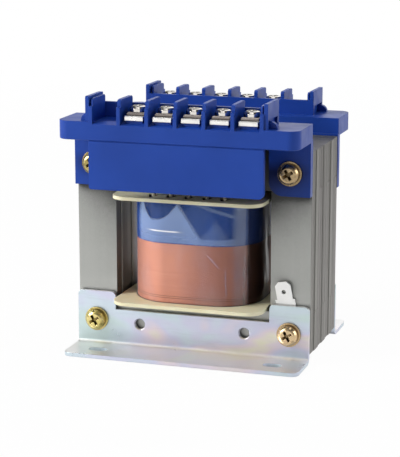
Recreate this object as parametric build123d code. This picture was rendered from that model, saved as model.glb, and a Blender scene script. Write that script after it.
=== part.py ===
"""A chassis control transformer: laminated core, wound bobbin, two terminal blocks, two foot brackets.

Millimetres. X runs along the feet, Y from the front to the rear, Z up.
The origin is on the mounting surface, under the middle of the core.
"""
from build123d import *
import os

os.makedirs("parts", exist_ok=True)

# Laminated core
centre_leg_width = 32.0
leg_width = 16.0
yoke_height = 16.0
window_width = 16.0
window_height = 48.0
stack_depth = 41.0
core_lift = 3.5
packet_count = 7
packet_stagger = 0.15
core_joint_gap = 0.1
bolt_inset = 8.0

# Bobbin
tube_clearance = 0.4
tube_wall = 1.5
tube_corner = 1.0
flange_sheet = 1.4
flange_side_gap = 1.2
flange_overhang = 12.5
flange_corner = 6.5
bobbin_lift = 0.7
bobbin_head_gap = 3.3
notch_pitch = 7.3
notch_count = 5
notch_inner_width = 4.4
notch_outer_width = 1.8
notch_start = 3.5
notch_length = 5.5

# Windings
primary_side_build = 3.1
primary_front_build = 1.8
primary_corner = 7.0
paper_sheet = 0.4
winding_side_build = 7.7
winding_front_build = 5.0
winding_corner = 16.6
band_sheet = 0.2
band_bottom = 24.0
film_sheet = 0.15

# Terminal block moulding
block_end_margin = 0.1
bar_depth = 21.3
bar_height = 7.3
bar_standoff = 0.95
bar_lift = 3.9
bar_corner = 4.5
bar_edge = 0.5
bar_top_wall = 2.4
ear_sheet = 3.4
ear_width = 16.5
ear_drop = 20.9
ear_corner = 5.5
skirt_half_length = 34.9
skirt_drop = 18.9
skirt_wall = 1.8
skirt_left_corner = 1.0
skirt_right_corner = 2.0
skirt_seam = 0.3
skirt_seam_depth = 0.4
bay_count = 6
bay_pitch = 11.32
barrier_sheet = 1.5
barrier_height = 8.9
barrier_length = 14.4
barrier_step = 1.3
barrier_step_height = 6.0
barrier_nose = 2.2
barrier_nose_drop = 0.6
barrier_back_corner = 0.7
bay_ramp = 3.4
bay_ramp_drop = 0.9
back_wall_height = 6.0
back_wall_sheet = 1.5
end_plate_sheet = 1.5
end_plate_rise = 0.8
end_plate_setback = 0.6
end_plate_corner = 0.7
cover_groove = 0.7
cover_groove_depth = 3.0
end_pocket_height = 3.5
end_pocket_front = 1.2
end_pocket_back = 1.9
end_pocket_depth = 1.1
hinge_lug_radius = 2.9
hinge_lug_sheet = 2.0
hinge_lug_setback = 3.3
pedestal_height = 1.9
pedestal_width = 6.6
cell_wall = 1.8
rear_block_drop = 4.1

# Terminals
terminal_sheet = 0.8
terminal_width = 7.4
terminal_front_gap = 1.6
terminal_lip = 1.8
terminal_bend = 0.4
terminal_length = 10.4
tail_width = 3.0
tail_drop = 3.4
tail_clearance = 0.15
screw_setback = 7.2
screw_shank = 3.5
screw_length = 8.0
screw_head = 6.6
screw_head_height = 2.2
screw_clearance = 0.25
screw_cross = 3.8
screw_turn = 24.0
screw_point = 0.4
head_crown = 0.45
recess_depth = 0.6
clamp_size = 7.0
clamp_sheet = 1.2
thread_clearance = 0.05

# Lead wires
lead_diameter = 1.6
lead_start_setback = 4.7
lead_rise = 4.2
lead_bend = 3.4

# Foot brackets
bracket_sheet = 1.5
bracket_bend = 1.5
foot_margin = 8.0
foot_corner = 3.0
foot_slot_inset = 12.0
foot_slot_setback = 12.0
foot_slot_width = 4.2
foot_slot_length = 7.4
bracket_middle_height = 15.8
bracket_ear_height = 22.9
bracket_ear_width = 16.0
bracket_ear_corner = 1.8
tool_hole = 4.0
tool_hole_bevel = 0.4
tool_hole_pitch = 43.5
tool_hole_height = 10.4

# Earth tab
tab_sheet = 0.8
tab_width = 6.3
tab_shoulder_width = 7.9
tab_eye = 8.6
tab_reach = 21.0
tab_shoulder_reach = 13.8
tab_crease_reach = 12.2
tab_chamfer = 1.5
tab_hole = 1.7
tab_hole_reach = 16.9
tab_tilt = 8.5
tab_lean = 7.0

# Through bolts
bolt_diameter = 4.0
bolt_clearance = 0.3
bolt_head = 7.8
bolt_head_height = 2.8
bolt_cross = 4.6
bolt_turn = 30.0
bolt_tail = 2.0
washer_diameter = 9.6
washer_sheet = 0.8
spring_diameter = 7.6
spring_sheet = 1.1
spring_split = 1.0
nut_flats = 7.0
nut_height = 3.2
nut_bevel = 0.45

# Places worked out from the sizes above
core_width = 2 * leg_width + 2 * window_width + centre_leg_width
core_height = 2 * yoke_height + window_height
core_top = core_lift + core_height
core_face = stack_depth / 2
window_bottom = core_lift + yoke_height
bolt_x = core_width / 2 - bolt_inset
bolt_low_z = core_lift + bolt_inset
bolt_high_z = core_top - bolt_inset
hole_diameter = bolt_diameter + 2 * bolt_clearance
packet_depth = stack_depth / packet_count
nut_corners = nut_flats * 2 / 3 ** 0.5

tube_half_x = centre_leg_width / 2 + tube_clearance + tube_wall
tube_half_y = core_face + tube_clearance + tube_wall
bobbin_bottom = window_bottom + bobbin_lift
bobbin_height = window_height - bobbin_lift - bobbin_head_gap
bobbin_top = bobbin_bottom + bobbin_height
winding_bottom = bobbin_bottom + flange_sheet
winding_top = bobbin_top - flange_sheet

block_length = core_width + 2 * block_end_margin
bar_bottom = core_top + bar_lift
bar_top = bar_bottom + bar_height
bar_inner = core_face + bar_standoff
bar_outer = bar_inner + bar_depth
barrier_span = bay_pitch * bay_count
wall_outer = bar_outer - barrier_length
terminal_top = bar_top + pedestal_height + terminal_sheet
terminal_face = bar_outer - terminal_front_gap
screw_y = bar_outer - screw_setback
tail_y = terminal_face - terminal_length + terminal_sheet
tail_bottom = bar_bottom - tail_drop

ear_face = core_face + ear_sheet
front_plate_face = core_face + tab_sheet + bracket_sheet
rear_plate_face = core_face + bracket_sheet
bracket_length = core_width
foot_slot_pitch_x = bracket_length - 2 * foot_slot_inset
foot_slot_pitch_y = stack_depth + 2 * foot_slot_setback
foot_end = foot_slot_pitch_y / 2 + foot_margin


def block(x0, x1, y0, y1, z0, z1):
    """A plain box between two corners."""
    middle = ((x0 + x1) / 2, (y0 + y1) / 2, (z0 + z1) / 2)
    return Pos(*middle) * Box(abs(x1 - x0), abs(y1 - y0), abs(z1 - z0))


def plate_xz(sketch, y_near, y_far):
    """Extrude a sketch, drawn with X across and Z up, from one Y to another."""
    face = Plane.XZ * sketch
    return Pos(0, max(y_near, y_far), 0) * extrude(face, abs(y_far - y_near))


def plate_yz(sketch, x0, x1):
    """Extrude a sketch, drawn with Y across and Z up, from one X to another."""
    face = Plane.YZ * sketch
    return Pos(min(x0, x1), 0, 0) * extrude(face, abs(x1 - x0))


def rod_y(diameter, x, z, y0, y1):
    """A round bar along Y."""
    length = abs(y1 - y0)
    return Pos(x, (y0 + y1) / 2, z) * Rot(90, 0, 0) * Cylinder(diameter / 2, length)


def to_rear(shape, drop=0.0):
    """The same piece turned round to the rear side, and lowered."""
    return Pos(0, 0, -drop) * Rot(0, 0, 180) * shape


def group(shapes):
    """Several separate solids in one part."""
    solids = []
    for shape in shapes:
        solids.extend(shape.solids())
    return Compound(children=solids)


def save(name, shape):
    """Write one part as a STEP file."""
    export_step(shape, "parts/" + name + ".step")


# Core: packets of E and I laminations, turned end for end from one packet to the next
def packet_place(index):
    """The Y range of one packet, and how far it stands to one side."""
    y0 = -core_face + index * packet_depth
    side = packet_stagger if index % 2 else -packet_stagger
    return y0, y0 + packet_depth, side


def turned(shape, index):
    """Every second packet stands upside down about the middle of the core."""
    if index % 2 == 0:
        return shape
    middle = core_lift + core_height / 2
    return Pos(0, 0, middle) * Rot(0, 180, 0) * Pos(0, 0, -middle) * shape


def bolt_holes(z, y0, y1):
    """The two clearance bores at one height."""
    bores = [rod_y(hole_diameter, side * bolt_x, z, y0 - 1, y1 + 1) for side in (-1, 1)]
    return bores[0] + bores[1]


def e_packet(index):
    """An E packet: one yoke and three legs."""
    y0, y1, side = packet_place(index)
    height = yoke_height + window_height
    shape = block(-core_width / 2, core_width / 2, y0, y1, core_lift, core_lift + height)
    for hand in (-1, 1):
        near = hand * centre_leg_width / 2
        far = near + hand * window_width
        shape -= block(near, far, y0 - 1, y1 + 1, window_bottom, core_lift + height + 1)
    shape = Pos(side, 0, 0) * turned(shape, index)
    shape -= bolt_holes(bolt_low_z, y0, y1)
    shape -= bolt_holes(bolt_high_z, y0, y1)
    return shape


def i_packet(index):
    """An I packet: the yoke that closes the E."""
    y0, y1, side = packet_place(index)
    bottom = core_lift + yoke_height + window_height + core_joint_gap
    shape = block(-core_width / 2, core_width / 2, y0, y1, bottom, core_top)
    shape = Pos(side, 0, 0) * turned(shape, index)
    shape -= bolt_holes(bolt_low_z if index % 2 else bolt_high_z, y0, y1)
    return shape


# Bobbin: a square tube with two flanges, slotted for the leads
def ring(half_x, half_y, corner, inner_x, inner_y, inner_corner, z0, z1):
    """A closed band round the tube, between two rounded outlines."""
    outline = RectangleRounded(2 * half_x, 2 * half_y, corner)
    outline -= RectangleRounded(2 * inner_x, 2 * inner_y, inner_corner)
    return Pos(0, 0, z0) * extrude(outline, z1 - z0)


def lead_notch(x, hand):
    """One tapered lead slot through the upper flange."""
    near = core_face + notch_start
    far = near + notch_length
    points = [(x - notch_inner_width / 2, hand * near), (x + notch_inner_width / 2, hand * near),
              (x + notch_outer_width / 2, hand * far), (x - notch_outer_width / 2, hand * far)]
    outline = make_face(Polyline(*points, close=True))
    return Pos(0, 0, winding_top - 1) * extrude(outline, flange_sheet + 2, dir=(0, 0, 1))


def notch_x(index):
    """Where one lead leaves the bobbin."""
    return (index - (notch_count - 1) / 2) * notch_pitch


def bobbin():
    """The moulded bobbin, one piece."""
    flange_x = centre_leg_width / 2 + window_width - flange_side_gap
    flange_y = core_face + flange_overhang
    inner_x = tube_half_x - tube_wall
    inner_y = tube_half_y - tube_wall
    inner_corner = tube_corner / 2
    shape = ring(tube_half_x, tube_half_y, tube_corner, inner_x, inner_y, inner_corner,
                 bobbin_bottom, bobbin_top)
    for z in (bobbin_bottom, winding_top):
        shape += ring(flange_x, flange_y, flange_corner, inner_x, inner_y, inner_corner,
                      z, z + flange_sheet)
    for index in range(notch_count):
        shape -= lead_notch(notch_x(index), -1)
        shape -= lead_notch(notch_x(index), 1)
    return shape


# Windings: copper, paper, copper, a blue band over the upper half and a clear film
def coil(start, finish, z0, z1):
    """A winding layer between two outlines, each given as half lengths and a corner."""
    return ring(*finish, *start, z0, z1)


def grown(outline, by):
    """An outline pushed out by the thickness of a layer."""
    return tuple(value + by for value in outline)


tube_outline = (tube_half_x, tube_half_y, tube_corner)
primary_outline = (tube_half_x + primary_side_build, tube_half_y + primary_front_build, primary_corner)
paper_outline = grown(primary_outline, paper_sheet)
winding_outline = (tube_half_x + winding_side_build, tube_half_y + winding_front_build, winding_corner)
band_outline = grown(winding_outline, band_sheet)
film_outline = grown(band_outline, film_sheet)


# Terminal block
def barrier_profile():
    """The side of a barrier: a stepped front edge, a rounded nose and a cut back corner."""
    front = -bar_outer
    back = -wall_outer
    top = bar_top + barrier_height
    step = bar_top + barrier_step_height
    nose = top - barrier_nose_drop
    crest = front + barrier_step + barrier_nose
    outline = Polyline((back, top - barrier_back_corner), (back, bar_top - 1), (front, bar_top - 1),
                       (front, step), (front + barrier_step, step), (front + barrier_step, nose))
    curve = RadiusArc((front + barrier_step, nose), (crest, top), 2 * barrier_nose)
    lid = Polyline((crest, top), (back - barrier_back_corner, top), (back, top - barrier_back_corner))
    return make_face(outline + curve + lid)


def end_plate(inner, outer):
    """The taller plate outside an end barrier, with a pocket and a lug for the hinge of a cover."""
    front = -bar_outer + end_plate_setback
    back = -wall_outer + back_wall_sheet
    top = bar_top + barrier_height + end_plate_rise
    side = make_face(Polyline((back, bar_top - 1), (front, bar_top - 1), (front, top), (back, top),
                              close=True))
    side = fillet(side.vertices().group_by(Axis.Y)[-1], end_plate_corner)
    shape = plate_yz(side, inner, outer)
    hand = 1 if outer > inner else -1
    floor = outer - hand * end_pocket_depth
    shape -= block(floor, outer + hand, front + end_pocket_front, back - end_pocket_back,
                   bar_top, bar_top + end_pocket_height)
    face = -bar_outer + hinge_lug_setback
    lug = rod_y(2 * hinge_lug_radius, outer, bar_top, face, face + hinge_lug_sheet)
    lug += block(floor, outer, face, face + hinge_lug_sheet, bar_top, bar_top + hinge_lug_radius)
    keep = block(floor, outer + hand * hinge_lug_radius, face, face + hinge_lug_sheet,
                 bar_top - bar_edge, bar_top + hinge_lug_radius)
    return shape + (lug & keep)


def end_barrier(hand):
    """An end barrier with a groove for a cover between it and its outer plate."""
    inner = hand * (barrier_span / 2 - barrier_sheet / 2)
    outer = inner + hand * barrier_sheet
    shape = plate_yz(barrier_profile(), inner, outer)
    top = bar_top + barrier_height
    shape -= block(outer - hand * cover_groove, outer + hand, -bar_outer - 1, -wall_outer + 1,
                   top - cover_groove_depth, top + 1)
    return shape + end_plate(outer, outer + hand * end_plate_sheet)


def bay_x(index):
    """The middle of one bay, counted from the empty one."""
    return (index - (bay_count - 1) / 2) * bay_pitch


def filled_bays():
    """The bays that hold a terminal: all but the first."""
    return [bay_x(index) for index in range(1, bay_count)]


def bay_front(x):
    """What is cut from the bar where the floor of one bay slopes down to the front."""
    front = -bar_outer
    low = bar_top - bay_ramp_drop
    slope = make_face(Polyline((front + bay_ramp, bar_top), (front, low), (front - 1, low),
                               (front - 1, bar_top + 1), (front + bay_ramp, bar_top + 1), close=True))
    half = (bay_pitch - barrier_sheet) / 2
    return plate_yz(slope, x - half, x + half)


def bar():
    """The bar, rounded at its outer corners and hollow under each bay."""
    shape = block(-block_length / 2, block_length / 2, -bar_outer, -bar_inner, bar_bottom, bar_top)
    corners = shape.edges().filter_by(Axis.Z).sort_by(Axis.Y)[:2]
    shape = fillet(corners, bar_corner)
    shape = fillet(shape.faces().sort_by(Axis.Z)[0].edges(), bar_edge)
    cell_back = -wall_outer + back_wall_sheet
    cell_front = -bar_outer + skirt_wall + cell_wall
    for index in range(bay_count):
        half = (bay_pitch - cell_wall) / 2
        x = bay_x(index)
        shape -= block(x - half, x + half, cell_front, cell_back, bar_bottom - 1,
                       bar_top - bar_top_wall)
        shape -= bay_front(x)
    return shape


def ear(hand):
    """A flat ear that the upper bolts hold against the core."""
    outer = block_length / 2
    inner = outer - ear_width
    bottom = bar_bottom - ear_drop
    shape = block(hand * inner, hand * outer, -ear_face, -core_face, bottom, bar_bottom + 1)
    corner = shape.edges().filter_by(Axis.Y).sort_by_distance((hand * inner, -core_face, bottom))[0]
    return fillet(corner, ear_corner)


def skirt():
    """The panel that hangs from the bar in front of the leads, with a shallow seam above it."""
    bottom = bar_bottom - skirt_drop
    inside = -bar_outer + skirt_wall
    top = bar_bottom - skirt_seam
    shape = block(-skirt_half_length, skirt_half_length, -bar_outer, inside, bottom, top)
    for x, radius in ((-skirt_half_length, skirt_left_corner), (skirt_half_length, skirt_right_corner)):
        low = shape.edges().filter_by(Axis.Y).sort_by_distance((x, -bar_outer, bottom))[0]
        shape = fillet(low, radius)
    return shape + block(-skirt_half_length, skirt_half_length, -bar_outer + skirt_seam_depth, inside,
                         bottom + skirt_right_corner, bar_bottom + 1)


def terminal_block(bolt_height):
    """The whole moulding, in the place of the front one, with its bolt holes at one height."""
    shape = bar() + skirt() + ear(-1) + ear(1)
    half = barrier_span / 2 + barrier_sheet / 2
    shape += block(-half, half, -wall_outer, -wall_outer + back_wall_sheet, bar_top - 1,
                   bar_top + back_wall_height)
    for index in range(1, bay_count):
        x = index * bay_pitch - barrier_span / 2
        shape += plate_yz(barrier_profile(), x - barrier_sheet / 2, x + barrier_sheet / 2)
    shape += end_barrier(-1)
    shape += end_barrier(1)
    seat_front = -terminal_face + terminal_sheet
    for x in filled_bays():
        shape += block(x - pedestal_width / 2, x + pedestal_width / 2, seat_front, -wall_outer,
                       bar_top - 1, bar_top + pedestal_height)
        bore = screw_shank + 2 * screw_clearance
        shape -= Pos(x, -screw_y, bar_top) * Cylinder(bore / 2, 2 * bar_height)
        tail_half = tail_width / 2 + tail_clearance
        shape -= block(x - tail_half, x + tail_half, -tail_y - tail_clearance,
                       -tail_y + terminal_sheet + tail_clearance, bar_bottom - 1, terminal_top + 1)
    return shape - bolt_holes(bolt_height, -ear_face, -core_face)


# Terminals: a folded plate with a solder tail, a clamp washer and a screw
def terminal_plate(x):
    """One plate, folded down at the front and at the solder tail."""
    low = terminal_top - terminal_sheet
    profile = make_face(Polyline(
        (-terminal_face, terminal_top - terminal_lip), (-terminal_face, terminal_top),
        (-terminal_face + terminal_length, terminal_top), (-terminal_face + terminal_length, low),
        (-terminal_face + terminal_sheet, low),
        (-terminal_face + terminal_sheet, terminal_top - terminal_lip), close=True))
    shape = plate_yz(profile, x - terminal_width / 2, x + terminal_width / 2)
    nose = shape.edges().filter_by(Axis.X).sort_by_distance((x, -terminal_face, terminal_top))[0]
    shape = fillet(nose, terminal_bend)
    shape += block(x - tail_width / 2, x + tail_width / 2, -tail_y, -tail_y + terminal_sheet,
                   tail_bottom, terminal_top)
    bore = screw_shank + 2 * thread_clearance
    return shape - Pos(x, -screw_y, terminal_top) * Cylinder(bore / 2, 3 * terminal_sheet)


def clamp_washer(x):
    """A square clamp washer with its front and rear edges turned up a little."""
    half = clamp_size / 2
    shape = Pos(x, -screw_y, terminal_top + clamp_sheet / 2) * Box(clamp_size, clamp_size, clamp_sheet)
    shape = chamfer(shape.faces().sort_by(Axis.Z)[-1].edges(), clamp_sheet / 3)
    shape -= Pos(x, -screw_y, terminal_top) * Box(clamp_size + 1, half, clamp_sheet / 2)
    bore = screw_shank + 2 * screw_clearance
    return shape - Pos(x, -screw_y, terminal_top) * Cylinder(bore / 2, 4 * clamp_sheet)


def cross_recess(size, depth):
    """A cross recess that starts at Z 0 and goes down."""
    blade = Polyline((-size / 2, 0.1), (size / 2, 0.1), (size / 5, -depth), (-size / 5, -depth), close=True)
    wide = plate_xz(make_face(blade), -size / 8, size / 8)
    return wide + Rot(0, 0, 90) * wide


def pan_screw(head, head_height, shank, length, cross):
    """A pan head screw that points down, its head standing on Z 0."""
    crown = head_height * head_crown
    outline = make_face(Polyline((0, -length), (shank / 2 - screw_point, -length),
                                 (shank / 2, -length + screw_point), (shank / 2, 0),
                                 (head / 2, 0), (head / 2, head_height - crown),
                                 (head / 2 - crown / 2, head_height - crown / 4),
                                 (head / 3, head_height), (0, head_height), close=True))
    shape = revolve(Plane.XZ * outline, Axis.Z)
    return shape - Pos(0, 0, head_height) * cross_recess(cross, head_height * recess_depth)


def terminal_screw(x):
    """One terminal screw on its clamp washer."""
    shape = pan_screw(screw_head, screw_head_height, screw_shank, screw_length, screw_cross)
    return Pos(x, -screw_y, terminal_top + clamp_sheet) * Rot(0, 0, screw_turn) * shape


# Leads: from the winding, up through the flange, to the solder tails
def lead(index, x, drop):
    """One sleeved lead, on straight runs with round bends between them."""
    y0 = -core_face - lead_start_setback
    y1 = -tail_y + terminal_sheet / 2
    top = tail_bottom - drop
    points = [(notch_x(index), y0, winding_top), (notch_x(index), y0, winding_top + lead_rise),
              (x, y1, top - lead_rise), (x, y1, top)]
    path = FilletPolyline(*points, radius=lead_bend)
    start = Plane(origin=points[0], z_dir=(0, 0, 1))
    return sweep(start * Circle(lead_diameter / 2), path=path)


# Brackets
def bracket(plate_face):
    """A foot bracket bent from sheet, its upright outer face at the given distance."""
    inside = plate_face - bracket_sheet
    section = make_face(Polyline((-inside, 0), (-inside, bracket_ear_height),
                                 (-plate_face, bracket_ear_height), (-plate_face, bracket_sheet),
                                 (-foot_end, bracket_sheet), (-foot_end, 0), close=True))
    heel = section.vertices().sort_by_distance((-inside, 0))[0]
    section = fillet(heel, bracket_bend + bracket_sheet)
    knee = section.vertices().sort_by_distance((-plate_face, bracket_sheet))[0]
    section = fillet(knee, bracket_bend)
    shape = plate_yz(section, -bracket_length / 2, bracket_length / 2)
    ear_inner = bracket_length / 2 - bracket_ear_width
    shape -= block(-ear_inner, ear_inner, -plate_face - 1, -inside + 1, bracket_middle_height,
                   bracket_ear_height + 1)
    tips = shape.edges().filter_by(Axis.Y).group_by(Axis.Z)[-1]
    shape = fillet(tips, bracket_ear_corner)
    toes = shape.edges().filter_by(Axis.Z).group_by(Axis.Y)[0]
    shape = fillet(toes, foot_corner)
    for hand in (-1, 1):
        slot = SlotOverall(foot_slot_length, foot_slot_width)
        slot = Pos(hand * foot_slot_pitch_x / 2, -foot_slot_pitch_y / 2, -1) * slot
        shape -= extrude(slot, bracket_sheet + 2, dir=(0, 0, 1))
        shape -= rod_y(tool_hole, hand * tool_hole_pitch / 2, tool_hole_height,
                       -plate_face - 1, -inside + 1)
        spot = (hand * tool_hole_pitch / 2, -plate_face, tool_hole_height)
        rim = shape.edges().filter_by(GeomType.CIRCLE).sort_by_distance(spot)[0]
        shape = chamfer(rim, tool_hole_bevel)
    return shape - bolt_holes(bolt_low_z, -plate_face, -inside)


def earth_tab():
    """The push-on tab, with its eye under the bracket and its blade leaning out."""
    blade = make_face(Polyline(
        (-tab_width / 2, tab_shoulder_reach), (-tab_width / 2, tab_reach - tab_chamfer),
        (-tab_width / 2 + tab_chamfer, tab_reach), (tab_width / 2 - tab_chamfer, tab_reach),
        (tab_width / 2, tab_reach - tab_chamfer), (tab_width / 2, tab_shoulder_reach), close=True))
    outline = Circle(tab_eye / 2) + blade
    outline += Pos(0, tab_shoulder_reach / 2) * Rectangle(tab_shoulder_width, tab_shoulder_reach)
    outline -= Circle(hole_diameter / 2)
    outline -= Pos(0, tab_hole_reach) * Circle(tab_hole / 2)
    flat = plate_xz(outline, -tab_reach, tab_reach)
    foot = block(-tab_eye, tab_eye, -tab_sheet, 0, -tab_eye, tab_crease_reach)
    lean = Pos(0, 0, tab_crease_reach) * Rot(tab_lean, 0, 0)
    blade_sheet = lean * block(-tab_eye, tab_eye, -tab_sheet, 0, 0, tab_reach)
    shape = flat & (foot + blade_sheet)
    return Pos(bolt_x, -core_face, bolt_low_z) * Rot(0, -tab_tilt, 0) * shape


# Through bolts, with a washer under each head, and a washer, a spring washer and a nut behind
def washer(diameter, sheet, x, z, y0):
    """A flat washer from Y y0 to y0 plus its thickness."""
    return rod_y(diameter, x, z, y0, y0 + sheet) - rod_y(hole_diameter, x, z, y0 - 1, y0 + sheet + 1)


def through_bolt(x, z, near_face, far_face):
    """A bolt from the front face of the stack to past its nut."""
    grip = near_face + far_face + 2 * washer_sheet + spring_sheet + nut_height
    shape = pan_screw(bolt_head, bolt_head_height, bolt_diameter, grip + bolt_tail, bolt_cross)
    return Pos(x, -near_face - washer_sheet, z) * Rot(90, 0, 0) * Rot(0, 0, bolt_turn) * shape


def spring_washer(x, z, y0):
    """A split spring washer."""
    shape = washer(spring_diameter, spring_sheet, x, z, y0)
    return shape - block(x, x + spring_diameter, y0 - 1, y0 + spring_sheet + 1,
                         z - spring_split / 2, z + spring_split / 2)


def nut(x, z, y0):
    """A hexagon nut, its corners turned down at both faces."""
    hexagon = RegularPolygon(nut_flats / 2, 6, major_radius=False)
    blank = rod_y(nut_corners, x, z, y0, y0 + nut_height)
    blank = chamfer(blank.edges().filter_by(GeomType.CIRCLE), nut_bevel)
    shape = plate_xz(Pos(x, z) * hexagon, y0, y0 + nut_height) & blank
    bore = bolt_diameter + 2 * thread_clearance
    return shape - rod_y(bore, x, z, y0 - 1, y0 + nut_height + 1)


# Build and write every part
for number in range(packet_count):
    save("core_e_packet_" + str(number + 1), e_packet(number))
    save("core_i_packet_" + str(number + 1), i_packet(number))

save("bobbin", bobbin())
save("primary_winding", coil(tube_outline, primary_outline, winding_bottom, winding_top))
save("interlayer_paper", coil(primary_outline, paper_outline, winding_bottom, winding_top))
save("secondary_winding", coil(paper_outline, winding_outline, winding_bottom, winding_top))
band_z = winding_bottom + band_bottom
save("insulation_band", coil(winding_outline, band_outline, band_z, winding_top))
save("film_wrap", coil(band_outline, film_outline, winding_bottom, winding_top))

save("front_terminal_block", terminal_block(bolt_high_z))
save("rear_terminal_block", to_rear(terminal_block(bolt_high_z + rear_block_drop), rear_block_drop))

for number, bay in enumerate(filled_bays()):
    save("front_terminal_" + str(number + 1), terminal_plate(bay))
    save("rear_terminal_" + str(number + 1), to_rear(terminal_plate(bay), rear_block_drop))

front_clamps = [clamp_washer(bay) for bay in filled_bays()]
front_screws = [terminal_screw(bay) for bay in filled_bays()]
save("front_clamp_washers", group(front_clamps))
save("rear_clamp_washers", group([to_rear(shape, rear_block_drop) for shape in front_clamps]))
save("front_terminal_screws", group(front_screws))
save("rear_terminal_screws", group([to_rear(shape, rear_block_drop) for shape in front_screws]))

bays = filled_bays()
save("front_leads", group([lead(index, bays[index], 0.0) for index in range(notch_count)]))
save("rear_leads", group([to_rear(lead(index, bays[index], rear_block_drop))
                          for index in range(notch_count)]))

save("front_bracket", bracket(front_plate_face))
save("rear_bracket", to_rear(bracket(rear_plate_face)))
save("earth_tab", earth_tab())

sides = (-bolt_x, bolt_x)
save("upper_bolts", group([through_bolt(x, bolt_high_z, ear_face, ear_face) for x in sides]))
save("lower_bolts", group([through_bolt(x, bolt_low_z, front_plate_face, rear_plate_face) for x in sides]))

head_washers = []
nut_washers = []
spring_washers = []
nuts = []
for x in sides:
    for z, near_face, far_face in ((bolt_high_z, ear_face, ear_face),
                                   (bolt_low_z, front_plate_face, rear_plate_face)):
        head_washers.append(washer(washer_diameter, washer_sheet, x, z, -near_face - washer_sheet))
        nut_washers.append(washer(washer_diameter, washer_sheet, x, z, far_face))
        spring_washers.append(spring_washer(x, z, far_face + washer_sheet))
        nuts.append(nut(x, z, far_face + washer_sheet + spring_sheet))
save("head_washers", group(head_washers))
save("nut_washers", group(nut_washers))
save("spring_washers", group(spring_washers))
save("nuts", group(nuts))
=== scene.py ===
# %% [markdown]
# # A control transformer, from solids to a studio picture
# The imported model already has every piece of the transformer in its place: the laminated core, the wound
# bobbin, two terminal blocks, brackets and bolts. This lesson gives each of them its finish, adds the
# things that are too fine for the solids (sheet edges, turns of wire, a wrinkled film, screw threads), and
# sets up the camera, the light and the floor.

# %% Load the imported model
import math

import bpy
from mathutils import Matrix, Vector, noise


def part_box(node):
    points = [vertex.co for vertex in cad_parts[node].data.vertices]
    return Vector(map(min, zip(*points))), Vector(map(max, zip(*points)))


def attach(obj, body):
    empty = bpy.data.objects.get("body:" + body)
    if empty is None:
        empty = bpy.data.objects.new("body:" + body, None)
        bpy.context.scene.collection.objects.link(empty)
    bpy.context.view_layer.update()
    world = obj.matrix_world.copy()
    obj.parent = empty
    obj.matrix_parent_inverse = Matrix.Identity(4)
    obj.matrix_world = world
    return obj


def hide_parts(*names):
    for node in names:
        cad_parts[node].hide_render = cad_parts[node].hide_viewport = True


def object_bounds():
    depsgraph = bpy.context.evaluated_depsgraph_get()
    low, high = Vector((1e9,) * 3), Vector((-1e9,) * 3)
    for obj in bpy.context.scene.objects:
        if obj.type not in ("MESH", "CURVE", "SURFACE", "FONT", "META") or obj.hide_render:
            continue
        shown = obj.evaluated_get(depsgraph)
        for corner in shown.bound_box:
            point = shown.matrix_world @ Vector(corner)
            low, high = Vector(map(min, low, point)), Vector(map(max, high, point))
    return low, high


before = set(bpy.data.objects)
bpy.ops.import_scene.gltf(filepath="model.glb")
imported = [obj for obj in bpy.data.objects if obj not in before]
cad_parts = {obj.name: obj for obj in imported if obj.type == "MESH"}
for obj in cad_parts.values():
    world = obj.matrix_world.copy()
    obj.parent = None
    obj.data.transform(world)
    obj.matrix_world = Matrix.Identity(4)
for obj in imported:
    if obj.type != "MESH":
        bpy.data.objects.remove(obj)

cad_box = [list(corner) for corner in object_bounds()]
MM = 0.001
print("nodes", len(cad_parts), "box", cad_box)

# %% [markdown]
# ## The camera
# A wrong camera makes every later comparison useless, so it comes first. The photograph shows parallel
# edges of known length in three directions. From their places in the picture a small fit gave the turn,
# the tilt, the distance and the lens. The camera looks down by about 12 degrees, from a little to the
# right, through a long lens.

# %% The camera of the photograph
TURN = 17.84
LOOK_DOWN = 12.27
CAMERA_PLACE = (0.20253, -0.64087, 0.19264)
SENSOR = 36.0
LENS_IN_PIXELS = 1698.35
PICTURE_WIDTH = 400

camera_data = bpy.data.cameras.new("photo_camera")
camera_data.sensor_fit = "HORIZONTAL"
camera_data.sensor_width = SENSOR
camera_data.lens = LENS_IN_PIXELS * SENSOR / PICTURE_WIDTH
camera_data.clip_start = 0.01
camera_data.clip_end = 50.0
camera = bpy.data.objects.new("photo_camera", camera_data)
camera.location = CAMERA_PLACE
camera.rotation_euler = (math.radians(90.0 - LOOK_DOWN), 0.0, math.radians(TURN))
bpy.context.scene.collection.objects.link(camera)
bpy.context.scene.camera = camera
print("lens", round(camera_data.lens, 2), "mm")

# %% [markdown]
# ## Small helpers for node trees
# A material and a geometry tree are both lists of nodes with wires between them. One helper adds a node
# and fills its sockets, either with a number or with a wire from another node. With it, a whole finish
# reads from top to bottom like a recipe.


# %% Helpers for nodes
def add(tree, kind, inputs=None, **settings):
    """Add a node, set its properties, and give its sockets values or wires."""
    node = tree.nodes.new(kind)
    for key, value in settings.items():
        setattr(node, key, value)
    for key, value in (inputs or {}).items():
        if isinstance(key, int):
            socket = node.inputs[key]
        else:
            socket = next(s for s in node.inputs if s.name == key and s.enabled)
        if isinstance(value, bpy.types.NodeSocket):
            tree.links.new(value, socket)
        else:
            socket.default_value = value
    return node


def out(node, name=None):
    """The live output of a node, or the one with a name."""
    return next(s for s in node.outputs if s.enabled and (name is None or s.name == name))


def colour(red, green, blue):
    """A colour from the 0 to 255 values that a paint program shows."""
    parts = []
    for value in (red, green, blue):
        share = value / 255.0
        parts.append(share / 12.92 if share <= 0.04045 else ((share + 0.055) / 1.055) ** 2.4)
    return (*parts, 1.0)


print("white is", colour(255, 255, 255))

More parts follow.
